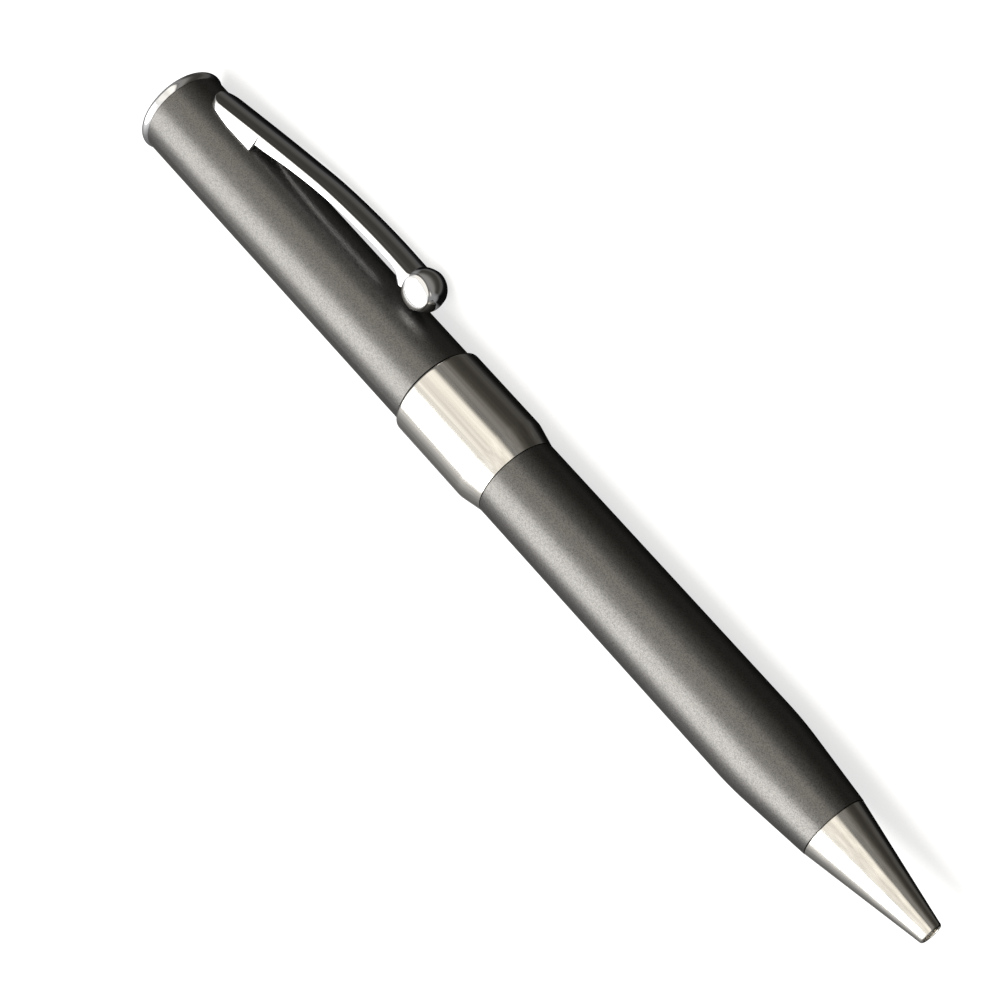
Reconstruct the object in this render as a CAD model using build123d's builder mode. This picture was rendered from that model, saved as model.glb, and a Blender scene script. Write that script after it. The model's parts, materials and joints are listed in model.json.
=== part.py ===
"""Twist-action ballpoint pen, lying on its centre band and on the ball of its clip.

Millimetres. The pen's axis is level and parallel to X: the writing tip is at -X and the
crown at +X. +Z is up. The origin is on the ground, under the middle of the pen's box.
Lengths along the pen are measured from the writing tip, and called stations.
"""

from build123d import *
from math import acos, cos, degrees, radians, sin
import os

os.makedirs("parts", exist_ok=True)

# ---------------------------------------------------------------- driving dimensions
length = 140.0            # crown to nose mouth
seam_gap = 0.1            # fine groove left between two fitted outer pieces

mouth_r = 1.5             # outer radius of the nose at its mouth
nose_seam = 16.0          # station where the nose meets the lower barrel
nose_r = 4.42             # nose radius there

lower_r = 5.63            # lower barrel, straight part
lower_nose_r = 4.47       # lower barrel at the nose
taper_start = 25.0        # the barrel's cone ends here
taper_r = 5.385           # and is this thick there
straight_start = 29.8     # and its straight part starts here
lower_end = 72.2          # station where the band starts

band_r = 6.33
band_end = 87.35
band_taper = 3.1          # length of the band's cone
band_soft = 3.0           # rounding where the cone meets the straight part
band_edge = 0.4           # rounded shoulder at the band's upper end

upper_r = 5.75            # upper barrel at the band
upper_crown_r = 5.83      # upper barrel at the crown
upper_start = 87.65
crown_seam = 138.4
crown_r = 6.08

clip_ball_r = 2.75
clip_ball_station = 95.75
clip_ball_height = 8.80   # from the pen's axis to the ball's centre
clip_turn = degrees(acos((band_r - clip_ball_r) / clip_ball_height))  # from straight down

# Refill: metal ballpoint refill of the common 98.1 mm size
refill_start = 0.45       # station of the writing end, drawn in
refill_length = 98.1
refill_r = 2.92
point_r = 1.14
neck_r = 1.6
travel = 5.0              # how far the twist pushes the refill
twist = 180.0             # degrees of twist for that travel

running = 0.08            # radial clearance of pieces that turn or slide in each other

# ---------------------------------------------------------------- frame
axis_z = band_r
clip_reach = clip_ball_height * sin(radians(clip_turn)) + clip_ball_r
axis_y = (clip_reach - band_r) / 2
tip = (-length / 2, axis_y, axis_z)

pen_axis = Axis(tip, (1, 0, 0))
side = Plane(origin=tip, x_dir=(1, 0, 0), z_dir=(0, -1, 0))        # x station, y up
clip_out = Vector(0, -sin(radians(clip_turn)), -cos(radians(clip_turn)))
clip_across = Vector(0, cos(radians(clip_turn)), -sin(radians(clip_turn)))
clip_side = Plane(origin=tip, x_dir=(1, 0, 0), z_dir=clip_across)  # x station, y outwards


def place(station, out=0.0, across=0.0):
    """Point in the part's frame from a station and the clip's own two directions."""
    return Vector(*tip) + Vector(station, 0, 0) + clip_out * out + clip_across * across


def section(station):
    """Plane square to the pen's axis: x across the clip, y outwards through the clip."""
    return Plane(origin=place(station), x_dir=clip_across, z_dir=(-1, 0, 0))


def ring(start, end, inner, outer):
    """Corners of a plain ring's profile, as (station, radius)."""
    return [(start, inner), (start, outer), (end, outer), (end, inner)]


# ---------------------------------------------------------------- nose cone
# A cone with a rounded lip, a bore that guides the refill's point, a seat for the spring,
# and a spigot pressed into the lower barrel.
lip_r = 0.25
point_bore_r = point_r + running
spring_seat = 8.0
spring_bore_r = 2.15
spigot_r = 3.95
spigot_end = 23.0
spigot_bore_r = refill_r + 0.22
throat_start = 13.8
throat_end = 16.0

with BuildPart() as nose_cone:
    with BuildSketch(side):
        with BuildLine():
            Polyline(
                (0, point_bore_r),
                (0, mouth_r),
                (nose_seam - seam_gap / 2, nose_r),
                (nose_seam - seam_gap / 2, spigot_r),
                (spigot_end, spigot_r),
                (spigot_end, spigot_bore_r),
                (throat_end, spigot_bore_r),
                (throat_start, spring_bore_r),
                (spring_seat, spring_bore_r),
                (spring_seat, point_bore_r),
                close=True,
            )
        make_face()
    revolve(axis=pen_axis)
    lip = nose_cone.edges().filter_by(GeomType.CIRCLE).group_by(Axis.X)[0].sort_by(SortBy.RADIUS)[-1]
    fillet(lip, lip_r)
nose_cone.part.label = "nose_cone"
export_step(nose_cone.part, "parts/nose_cone.step")

# ---------------------------------------------------------------- lower barrel
# A drawn tube: straight, then a soft shoulder, then a cone down to the nose.
barrel_wall = 0.52
lower_bore_r = lower_r - barrel_wall
bore_cone_end = 29.0

with BuildPart() as lower_barrel:
    with BuildSketch(side):
        with BuildLine():
            Line((nose_seam + seam_gap / 2, spigot_r), (nose_seam + seam_gap / 2, lower_nose_r))
            Line((nose_seam + seam_gap / 2, lower_nose_r), (taper_start, taper_r))
            TangentArc((straight_start, lower_r), (taper_start, taper_r), tangent=(-1, 0))
            Line((straight_start, lower_r), (lower_end - seam_gap / 2, lower_r))
            Line((lower_end - seam_gap / 2, lower_r), (lower_end - seam_gap / 2, lower_bore_r))
            Line((lower_end - seam_gap / 2, lower_bore_r), (bore_cone_end, lower_bore_r))
            Line((bore_cone_end, lower_bore_r), (spigot_end, spigot_r))
            Line((spigot_end, spigot_r), (nose_seam + seam_gap / 2, spigot_r))
        make_face()
    revolve(axis=pen_axis)
lower_barrel.part.label = "lower_barrel"
export_step(lower_barrel.part, "parts/lower_barrel.step")

# ---------------------------------------------------------------- coupler bush
# Brass bush in the lower barrel. The mechanism screws into it, and its inner lip guides
# the refill. Its mouth is opened out for the seal ring.
coupler_start = 57.0
coupler_lip = 2.5
coupler_lip_r = refill_r + 0.2
thread_r = 4.3
thread_gap = 0.05
seal_seat = 70.6
seal_seat_r = 4.55

with BuildPart() as coupler_bush:
    with BuildSketch(side):
        with BuildLine():
            Polyline(
                (coupler_start, coupler_lip_r),
                (coupler_start, lower_bore_r),
                (lower_end - seam_gap / 2, lower_bore_r),
                (lower_end - seam_gap / 2, seal_seat_r),
                (seal_seat, seal_seat_r),
                (seal_seat, thread_r),
                (coupler_start + coupler_lip, thread_r),
                (coupler_start + coupler_lip, coupler_lip_r),
                close=True,
            )
        make_face()
    revolve(axis=pen_axis)
coupler_bush.part.label = "coupler_bush"
export_step(coupler_bush.part, "parts/coupler_bush.step")

# ---------------------------------------------------------------- centre band
band_bore_r = 5.3

with BuildPart() as centre_band:
    with BuildSketch(side):
        with BuildLine():
            Line((lower_end + seam_gap / 2, band_bore_r), (lower_end + seam_gap / 2, lower_r))
            Line((lower_end + seam_gap / 2, lower_r), (lower_end + band_taper, band_r))
            Line((lower_end + band_taper, band_r), (band_end - band_edge, band_r))
            TangentArc((band_end - band_edge, band_r), (band_end, band_r - band_edge), tangent=(1, 0))
            Line((band_end, band_r - band_edge), (band_end, band_bore_r))
            Line((band_end, band_bore_r), (lower_end + seam_gap / 2, band_bore_r))
        make_face()
    revolve(axis=pen_axis)
    wide_rims = centre_band.edges().filter_by(GeomType.CIRCLE).filter_by(lambda rim: rim.radius > band_r - 0.01)
    fillet(wide_rims.sort_by(Axis.X)[0], band_soft)
centre_band.part.label = "centre_band"
export_step(centre_band.part, "parts/centre_band.step")

# ---------------------------------------------------------------- guide tube
# The mechanism's fixed body: a threaded nose, a collar under the band and a slender tube
# with two straight slots. Grooves hold the seal ring, friction ring and retaining ring.
guide_bore_r = 3.2
guide_r = 4.0
guide_start = 60.5
guide_end = 118.0
pin_r = 0.6
pin_station = 103.0
slot_gap = 0.07           # each side of the cross pin, in both pairs of slots
thread_nose_end = lower_end + seam_gap / 2
seal_groove = (70.75, 72.0)
seal_groove_r = 3.75
friction_groove = (109.5, 110.1)
friction_groove_r = 3.52
retaining_groove = (116.35, 116.85)
retaining_groove_r = 3.6


def slotted_groove(groove, depth_r, surface_r):
    """Profile points of a groove cut into a turned surface, in order of station."""
    start, end = groove
    return [(start, surface_r), (start, depth_r), (end, depth_r), (end, surface_r)]


with BuildPart() as guide_tube:
    with BuildSketch(side):
        with BuildLine():
            Polyline(
                (guide_start, guide_bore_r),
                (guide_start, thread_r - thread_gap),
                *slotted_groove(seal_groove, seal_groove_r, thread_r - thread_gap),
                (thread_nose_end, thread_r - thread_gap),
                (thread_nose_end, band_bore_r),
                (band_end, band_bore_r),
                (band_end, guide_r),
                *slotted_groove(friction_groove, friction_groove_r, guide_r),
                *slotted_groove(retaining_groove, retaining_groove_r, guide_r),
                (guide_end, guide_r),
                (guide_end, guide_bore_r),
                close=True,
            )
        make_face()
    revolve(axis=pen_axis)
    with BuildSketch(Plane(origin=tip, x_dir=(1, 0, 0), z_dir=(0, 0, 1))):
        with Locations((pin_station - travel / 2, 0)):
            SlotCenterToCenter(travel + 2 * slot_gap, 2 * (pin_r + slot_gap))
    extrude(amount=guide_r + 1, both=True, mode=Mode.SUBTRACT)
guide_tube.part.label = "guide_tube"
export_step(guide_tube.part, "parts/guide_tube.step")

# ---------------------------------------------------------------- seal ring
seal_ring_r = 0.38

with BuildPart() as seal_ring:
    with BuildSketch(side):
        with Locations((sum(seal_groove) / 2, seal_groove_r + seal_ring_r)):
            Circle(seal_ring_r)
    revolve(axis=pen_axis)
seal_ring.part.label = "seal_ring"
export_step(seal_ring.part, "parts/seal_ring.step")

# ---------------------------------------------------------------- thrust washer
# Thin plastic washer that the upper barrel turns on.
washer_edge = 0.15        # how far it stands back from the barrel's surface
washer_end = band_end + 0.25

with BuildPart() as thrust_washer:
    with BuildSketch(side):
        with BuildLine():
            Polyline(*ring(band_end, washer_end, guide_r, upper_r - washer_edge), close=True)
        make_face()
    revolve(axis=pen_axis)
thrust_washer.part.label = "thrust_washer"
export_step(thrust_washer.part, "parts/thrust_washer.step")

# ---------------------------------------------------------------- cam sleeve
# Turns with the upper barrel. Its two helical slots push the cross pin along.
cam_bore_r = guide_r + running
cam_r = 4.75
cam_start = 87.75
cam_end = 116.2
cam_mid_r = (cam_bore_r + cam_r) / 2
slot_width = 2 * (pin_r + slot_gap)
pin_place = Vector(*tip) + Vector(pin_station, 0, 0)

with BuildPart() as helical_slot:
    with BuildLine() as slot_path:
        Helix(
            travel * 360 / twist,
            travel,
            cam_mid_r,
            center=pin_place,
            direction=(-1, 0, 0),
            lefthand=True,
        )
    slot_start = Plane(origin=slot_path.line @ 0, x_dir=(0, 0, 1), z_dir=slot_path.line % 0)
    with BuildSketch(slot_start):
        Rectangle(2 * (cam_r - cam_bore_r), slot_width)
    sweep(path=slot_path.line, is_frenet=True)

with BuildPart() as cam_sleeve:
    with BuildSketch(side):
        with BuildLine():
            Polyline(*ring(cam_start, cam_end, cam_bore_r, cam_r), close=True)
        make_face()
    revolve(axis=pen_axis)
    add(helical_slot.part, mode=Mode.SUBTRACT)
    add(helical_slot.part.rotate(pen_axis, twist), mode=Mode.SUBTRACT)
    with BuildSketch(Plane(origin=tip, x_dir=(1, 0, 0), z_dir=(0, 0, 1))):
        with Locations((pin_station, 0), (pin_station - travel, 0)):
            Circle(pin_r + slot_gap)
    extrude(amount=cam_r + 1, both=True, mode=Mode.SUBTRACT)
cam_sleeve.part.label = "cam_sleeve"
export_step(cam_sleeve.part, "parts/cam_sleeve.step")

# ---------------------------------------------------------------- friction ring
friction_ring_r = 0.26
friction_proud = 0.04     # how far it stands out of its groove

with BuildPart() as friction_ring:
    with BuildSketch(side):
        with Locations((sum(friction_groove) / 2, guide_r + friction_proud - friction_ring_r)):
            Circle(friction_ring_r)
    revolve(axis=pen_axis)
friction_ring.part.label = "friction_ring"
export_step(friction_ring.part, "parts/friction_ring.step")

# ---------------------------------------------------------------- retaining ring
# Split spring ring in the guide tube's end groove.
retaining_gap = 2.4
retaining_ring_r = cam_r - 0.1
retaining_cut = 1.0       # wider than the ring is thick

with BuildPart() as retaining_ring:
    with BuildSketch(side):
        with BuildLine():
            Polyline(*ring(*retaining_groove, retaining_groove_r, retaining_ring_r), close=True)
        make_face()
    revolve(axis=pen_axis)
    with BuildSketch(Plane(origin=tip, x_dir=(1, 0, 0), z_dir=(0, 0, 1))):
        with Locations((sum(retaining_groove) / 2, 0)):
            Rectangle(retaining_cut, retaining_gap)
    extrude(amount=cam_r, mode=Mode.SUBTRACT)
retaining_ring.part.label = "retaining_ring"
export_step(retaining_ring.part, "parts/retaining_ring.step")

# ---------------------------------------------------------------- drive bush
# Plastic sleeve that grips the cam sleeve inside the upper barrel.
upper_bore_r = 5.2
bush_start = 89.0
bush_end = 119.5

with BuildPart() as drive_bush:
    with BuildSketch(side):
        with BuildLine():
            Polyline(*ring(bush_start, bush_end, cam_r, upper_bore_r), close=True)
        make_face()
    revolve(axis=pen_axis)
drive_bush.part.label = "drive_bush"
export_step(drive_bush.part, "parts/drive_bush.step")

# ---------------------------------------------------------------- upper barrel
# A tube that widens a little to the crown, with a slot for the clip's anchor.
anchor_start = 127.2
anchor_end = 130.0
anchor_width = 1.6

with BuildPart() as upper_barrel:
    with BuildSketch(side):
        with BuildLine():
            Polyline(
                (upper_start, upper_bore_r),
                (upper_start, upper_r),
                (crown_seam - seam_gap / 2, upper_crown_r),
                (crown_seam - seam_gap / 2, upper_bore_r),
                close=True,
            )
        make_face()
    revolve(axis=pen_axis)
    with BuildSketch(Plane(origin=tip, x_dir=(1, 0, 0), z_dir=clip_out)):
        with Locations(((anchor_start + anchor_end) / 2, 0)):
            Rectangle(anchor_end - anchor_start, anchor_width)
    extrude(amount=upper_crown_r + 1, mode=Mode.SUBTRACT)
upper_barrel.part.label = "upper_barrel"
export_step(upper_barrel.part, "parts/upper_barrel.step")

# ---------------------------------------------------------------- clip block
# Moulded block in the top of the upper barrel, with a slot for the clip's anchor and a
# hole for the crown's stud.
block_start = 122.0
block_end = 134.4
stud_r = 1.5
stud_start = 124.5
stud_end = 137.4
anchor_root = 2.4         # how deep the anchor reaches, from the pen's axis

with BuildPart() as clip_block:
    with BuildSketch(side):
        with BuildLine():
            Polyline(
                (block_start, 0),
                (block_start, upper_bore_r),
                (block_end, upper_bore_r),
                (block_end, stud_r),
                (stud_start, stud_r),
                (stud_start, 0),
                close=True,
            )
        make_face()
    revolve(axis=pen_axis)
    with BuildSketch(Plane(origin=place(0, anchor_root), x_dir=(1, 0, 0), z_dir=clip_out)):
        with Locations(((anchor_start + anchor_end) / 2, 0)):
            Rectangle(anchor_end - anchor_start, anchor_width)
    extrude(amount=upper_bore_r, mode=Mode.SUBTRACT)
clip_block.part.label = "clip_block"
export_step(clip_block.part, "parts/clip_block.step")

# ---------------------------------------------------------------- clip anchor
anchor_top = 6.2

with BuildPart() as clip_anchor:
    with BuildSketch(Plane(origin=place(0, anchor_root), x_dir=(1, 0, 0), z_dir=clip_out)):
        with Locations(((anchor_start + anchor_end) / 2, 0)):
            Rectangle(anchor_end - anchor_start, anchor_width)
    extrude(amount=anchor_top - anchor_root)
clip_anchor.part.label = "clip_anchor"
export_step(clip_anchor.part, "parts/clip_anchor.step")

# ---------------------------------------------------------------- crown
# Chrome cap: a rounded bead a little wider than the barrel, a low dome on top and a hollow
# spigot in the barrel. The stud screws into its hub and into the clip block.
spigot_start = 134.6
crown_wall_r = 4.4        # the hollow lies between this radius
crown_hub_r = 2.6         # and this one
crown_hollow_end = 138.6
bead_end = 139.65
bead_edge_r = 5.72

with BuildPart() as crown_cap:
    with BuildSketch(side):
        with BuildLine():
            Polyline(
                (crown_seam + seam_gap / 2, bead_edge_r),
                (crown_seam + seam_gap / 2, upper_bore_r),
                (spigot_start, upper_bore_r),
                (spigot_start, crown_wall_r),
                (crown_hollow_end, crown_wall_r),
                (crown_hollow_end, crown_hub_r),
                (spigot_start, crown_hub_r),
                (spigot_start, stud_r),
                (stud_end, stud_r),
                (stud_end, 0),
                (length, 0),
            )
            TangentArc((length, 0), (bead_end, bead_edge_r), tangent=(0, 1))
            ThreePointArc(
                (bead_end, bead_edge_r),
                ((crown_seam + seam_gap / 2 + bead_end) / 2, crown_r),
                (crown_seam + seam_gap / 2, bead_edge_r),
            )
        make_face()
    revolve(axis=pen_axis)
crown_cap.part.label = "crown_cap"
export_step(crown_cap.part, "parts/crown_cap.step")

with BuildPart() as crown_stud:
    with BuildSketch(side):
        with BuildLine():
            Polyline(*ring(stud_start, stud_end, 0, stud_r), close=True)
        make_face()
    revolve(axis=pen_axis)
crown_stud.part.label = "crown_stud"
export_step(crown_stud.part, "parts/crown_stud.step")

# ---------------------------------------------------------------- clip ball
# A ball whose two sides are flatter domes, each with a crisp edge where it meets the rim.
face_half = 1.6           # half width between the two edges
face_r = (clip_ball_r**2 - face_half**2) ** 0.5
face_rise = 0.7           # how far each side bulges
ball_side = face_half + face_rise
ball_centre = place(clip_ball_station, clip_ball_height)

with BuildPart() as clip_ball:
    with BuildSketch(Plane(origin=ball_centre, x_dir=clip_across, z_dir=(-1, 0, 0))):
        with BuildLine():
            ThreePointArc((-face_half, face_r), (0, clip_ball_r), (face_half, face_r))
            TangentArc((ball_side, 0), (face_half, face_r), tangent=(0, 1))
            Line((ball_side, 0), (-ball_side, 0))
            TangentArc((-ball_side, 0), (-face_half, face_r), tangent=(0, 1))
        make_face()
    revolve(axis=Axis(ball_centre, clip_across))
clip_ball.part.label = "clip_ball"
export_step(clip_ball.part, "parts/clip_ball.step")

# ---------------------------------------------------------------- clip arm
# Lofted through sections with a domed top and soft shoulders, then cut to its arched
# underside. The foot follows the barrel, and its hollow covers the anchor. The other end
# keeps its width and is hollowed to sit against the ball.
foot_gap = 0.08           # the clip's foot rests on the barrel
head_end = 135.05
foot_end = 125.6
arm_end = 97.3
dome = 0.4                # rise of the top between its shoulders
shoulder_r = 0.22
section_foot = upper_r - 1.5
# station, half width, height of the top's shoulders above the pen's axis
arm_sections = [
    (head_end, 2.05, 6.12),
    (130.0, 2.05, 6.97),
    (124.2, 1.98, 7.93),
    (119.2, 1.92, 8.74),
    (114.0, 1.90, 9.50),
    (108.0, 1.90, 9.97),
    (102.5, 1.90, 10.12),
    (arm_end, 1.90, 10.02),
]
# underside of the arm, from the foot to the ball, as station and height
underside = [
    (foot_end - 0.25, 6.26),
    (124.2, 6.50),
    (119.3, 7.45),
    (113.8, 8.32),
    (108.0, 8.86),
    (102.4, 9.11),
    (99.6, 9.00),
]
collar = (98.1, 7.9)      # the underside comes down to here against the ball
groove_depth = 0.4
groove_width = 1.3
plan_half = 2.5           # half width of the plan cut, wider than the arm
head_round = 2.05         # round end of the head
corner_round = 0.8        # soft corners beside the ball
hollow_side = 0.4         # room round the anchor in the foot, along the pen
hollow_gap = 0.15         # and across it
hollow_tops = (6.75, 6.35)


def arm_outline(half_width, top):
    """Closed outline of one section of the arm."""
    inner = half_width - shoulder_r
    soft = shoulder_r * (1 - 0.5**0.5)
    Polyline(
        (-half_width, top - shoulder_r),
        (-half_width, section_foot),
        (half_width, section_foot),
        (half_width, top - shoulder_r),
    )
    ThreePointArc((half_width, top - shoulder_r), (half_width - soft, top - soft), (inner, top))
    ThreePointArc((inner, top), (0, top + dome), (-inner, top))
    ThreePointArc((-inner, top), (soft - half_width, top - soft), (-half_width, top - shoulder_r))


with BuildPart() as clip_arm:
    for station, half_width, top in arm_sections:
        with BuildSketch(section(station)):
            with BuildLine():
                arm_outline(half_width, top)
            make_face()
    loft()
    # plan outline: round head, soft corners beside the ball
    with BuildSketch(Plane(origin=place(0, upper_r - 2), x_dir=(1, 0, 0), z_dir=clip_out)):
        with BuildLine():
            Polyline(
                (head_end - head_round, head_round),
                (head_end - head_round, plan_half),
                (arm_end + corner_round, plan_half),
                (arm_end + corner_round, arm_sections[-1][1]),
            )
            TangentArc(
                (arm_end + corner_round, arm_sections[-1][1]),
                (arm_end, arm_sections[-1][1] - corner_round),
                tangent=(-1, 0),
            )
            Line(
                (arm_end, arm_sections[-1][1] - corner_round),
                (arm_end, corner_round - arm_sections[-1][1]),
            )
            TangentArc(
                (arm_end, corner_round - arm_sections[-1][1]),
                (arm_end + corner_round, -arm_sections[-1][1]),
                tangent=(0, -1),
            )
            Polyline(
                (arm_end + corner_round, -arm_sections[-1][1]),
                (arm_end + corner_round, -plan_half),
                (head_end - head_round, -plan_half),
                (head_end - head_round, -head_round),
            )
            ThreePointArc(
                (head_end - head_round, -head_round),
                (head_end, 0),
                (head_end - head_round, head_round),
            )
        make_face()
    extrude(amount=8, mode=Mode.INTERSECT)
    # arched underside, coming down again beside the ball
    with BuildSketch(clip_side):
        with BuildLine():
            Spline(*underside)
            Polyline(
                underside[-1],
                collar,
                (arm_end, collar[1]),
                (arm_end, 0),
                (foot_end, 0),
                (foot_end, upper_r),
                underside[0],
            )
        make_face()
    extrude(amount=4, both=True, mode=Mode.SUBTRACT)
    # shallow channel along the underside
    with BuildSketch(clip_side):
        with BuildLine():
            Spline(*[(station, height + groove_depth) for station, height in underside[1:6]])
            Polyline(
                (underside[5][0], underside[5][1] + groove_depth),
                (underside[5][0], 0),
                (underside[1][0], 0),
                (underside[1][0], underside[1][1] + groove_depth),
            )
        make_face()
    extrude(amount=groove_width / 2, both=True, mode=Mode.SUBTRACT)
    # foot shaped to the barrel, with a hollow for the anchor
    with BuildSketch(section(head_end + 5)):
        Circle(upper_crown_r + foot_gap)
    extrude(amount=head_end - foot_end + 15, mode=Mode.SUBTRACT)
    with BuildSketch(clip_side):
        with BuildLine():
            Polyline(
                (anchor_start - hollow_side, 0),
                (anchor_start - hollow_side, hollow_tops[0]),
                (anchor_end + hollow_side, hollow_tops[1]),
                (anchor_end + hollow_side, 0),
                close=True,
            )
        make_face()
    extrude(amount=anchor_width / 2 + hollow_gap, both=True, mode=Mode.SUBTRACT)
    add(clip_ball.part, mode=Mode.SUBTRACT)
clip_arm.part.label = "clip_arm"
export_step(clip_arm.part, "parts/clip_arm.step")

# ---------------------------------------------------------------- refill
# Metal tube with a stepped front, a plastic plug with four notches, ink, and a metal point.
refill_end = refill_start + refill_length
neck_front = 13.5
shoulder = 19.5
cone_end = 21.5
tube_end = 94.0
tube_wall = 0.35
tube_step = 0.45          # width of the step the spring pushes on
bore_lag = 0.5            # the tube's bore follows its outside this far behind
plug_depth = 3.0
plug_bore_r = 1.6
plug_bore_depth = 2.0
notch_size = (1.6, 1.2)   # width across and depth of the plug's notches

with BuildPart() as refill_tube:
    with BuildSketch(side):
        with BuildLine():
            Polyline(
                (neck_front, point_r),
                (neck_front, neck_r),
                (shoulder, neck_r),
                (shoulder, neck_r + tube_step),
                (cone_end, refill_r),
                (tube_end, refill_r),
                (tube_end, refill_r - tube_wall),
                (cone_end + bore_lag, refill_r - tube_wall),
                (shoulder + bore_lag, point_r),
                close=True,
            )
        make_face()
    revolve(axis=pen_axis)
refill_tube.part.label = "refill_tube"
export_step(refill_tube.part, "parts/refill_tube.step")

with BuildPart() as refill_plug:
    with BuildSketch(side):
        with BuildLine():
            Polyline(
                (tube_end - plug_depth, 0),
                (tube_end - plug_depth, refill_r - tube_wall),
                (tube_end, refill_r - tube_wall),
                (tube_end, refill_r),
                (refill_end, refill_r),
                (refill_end, plug_bore_r),
                (refill_end - plug_bore_depth, plug_bore_r),
                (refill_end - plug_bore_depth, 0),
                close=True,
            )
        make_face()
    revolve(axis=pen_axis)
    with BuildSketch(section(refill_end)):
        with PolarLocations(refill_r, 4):
            Rectangle(*notch_size)
    extrude(amount=plug_bore_depth, mode=Mode.SUBTRACT)
refill_plug.part.label = "refill_plug"
export_step(refill_plug.part, "parts/refill_plug.step")

ink_end = 78.0

with BuildPart() as ink_column:
    with BuildSketch(side):
        with BuildLine():
            Polyline(*ring(cone_end + bore_lag, ink_end, 0, refill_r - tube_wall), close=True)
        make_face()
    revolve(axis=pen_axis)
ink_column.part.label = "ink_column"
export_step(ink_column.part, "parts/ink_column.step")

ball_r = 0.5
ball_station = refill_start + ball_r
socket_r = ball_r + 0.03
lip_station = refill_start + 0.35
lip_wall = 0.04           # thickness of the rolled lip round the ball
point_cone = 2.6          # length of the point's cone
feed_r = 0.25
point_root = 18.0
lip_bore_r = (socket_r**2 - (ball_station - lip_station) ** 2) ** 0.5
feed_start = ball_station + (socket_r**2 - feed_r**2) ** 0.5

with BuildPart() as point_holder:
    with BuildSketch(side):
        with BuildLine():
            Polyline(
                (lip_station, lip_bore_r),
                (lip_station, socket_r + lip_wall),
                (lip_station + point_cone, point_r),
                (point_root, point_r),
                (point_root, feed_r),
                (feed_start, feed_r),
            )
            ThreePointArc((feed_start, feed_r), (ball_station, socket_r), (lip_station, lip_bore_r))
        make_face()
    revolve(axis=pen_axis)
point_holder.part.label = "point_holder"
export_step(point_holder.part, "parts/point_holder.step")

with BuildPart() as writing_ball:
    with Locations(Vector(*tip) + Vector(ball_station, 0, 0)):
        Sphere(ball_r)
writing_ball.part.label = "writing_ball"
export_step(writing_ball.part, "parts/writing_ball.step")

# ---------------------------------------------------------------- return spring
wire_r = 0.17
spring_r = 1.9
spring_turns = 9
spring_end_gap = 0.01
spring_length = shoulder - spring_seat - 2 * (wire_r + spring_end_gap)

with BuildPart() as return_spring:
    with BuildLine() as spring_path:
        Helix(
            spring_length / spring_turns,
            spring_length,
            spring_r,
            center=Vector(*tip) + Vector(spring_seat + wire_r + spring_end_gap, 0, 0),
            direction=(1, 0, 0),
        )
    with BuildSketch(Plane(origin=spring_path.line @ 0, z_dir=spring_path.line % 0)):
        Circle(wire_r)
    sweep(path=spring_path.line, is_frenet=True)
return_spring.part.label = "return_spring"
export_step(return_spring.part, "parts/return_spring.step")

# ---------------------------------------------------------------- carriage and its pin
# The carriage slides in the guide tube, cups the refill's plug and carries the cross pin.
carriage_r = guide_bore_r - running
cup_depth = 2.2
carriage_end = 107.0
pin_end_gap = 0.1         # the pin's ends stand back from the cam sleeve's surface

with BuildPart() as carriage:
    with BuildSketch(side):
        with BuildLine():
            Polyline(
                (refill_end, 0),
                (refill_end, refill_r),
                (refill_end - cup_depth, refill_r),
                (refill_end - cup_depth, carriage_r),
                (carriage_end, carriage_r),
                (carriage_end, 0),
                close=True,
            )
        make_face()
    revolve(axis=pen_axis)
    with BuildSketch(Plane(origin=tip, x_dir=(1, 0, 0), z_dir=(0, 0, 1))):
        with Locations((pin_station, 0)):
            Circle(pin_r)
    extrude(amount=carriage_r, both=True, mode=Mode.SUBTRACT)
carriage.part.label = "carriage"
export_step(carriage.part, "parts/carriage.step")

with BuildPart() as carriage_pin:
    with BuildSketch(Plane(origin=tip, x_dir=(1, 0, 0), z_dir=(0, 0, 1))):
        with Locations((pin_station, 0)):
            Circle(pin_r)
    extrude(amount=cam_r - pin_end_gap, both=True)
carriage_pin.part.label = "carriage_pin"
export_step(carriage_pin.part, "parts/carriage_pin.step")
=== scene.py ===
# %% [markdown]
# # A twist-action ballpoint pen
#
# The pen is a metal body of five turned pieces with an arched clip. It lies on its centre band
# and on the ball of its clip. The exact solids were drawn in CAD, and they are the frame of
# this scene: each one keeps its place, and each visible piece is either given a finish or
# rebuilt here as a mesh with softer edges. All lengths below are in millimetres along the pen
# from its writing tip, called stations, and one helper turns them into the scene's metres.

# %% Load the frame
import json
import bmesh
import bpy
from math import cos, pi, radians, sin
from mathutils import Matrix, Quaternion, Vector


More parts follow.
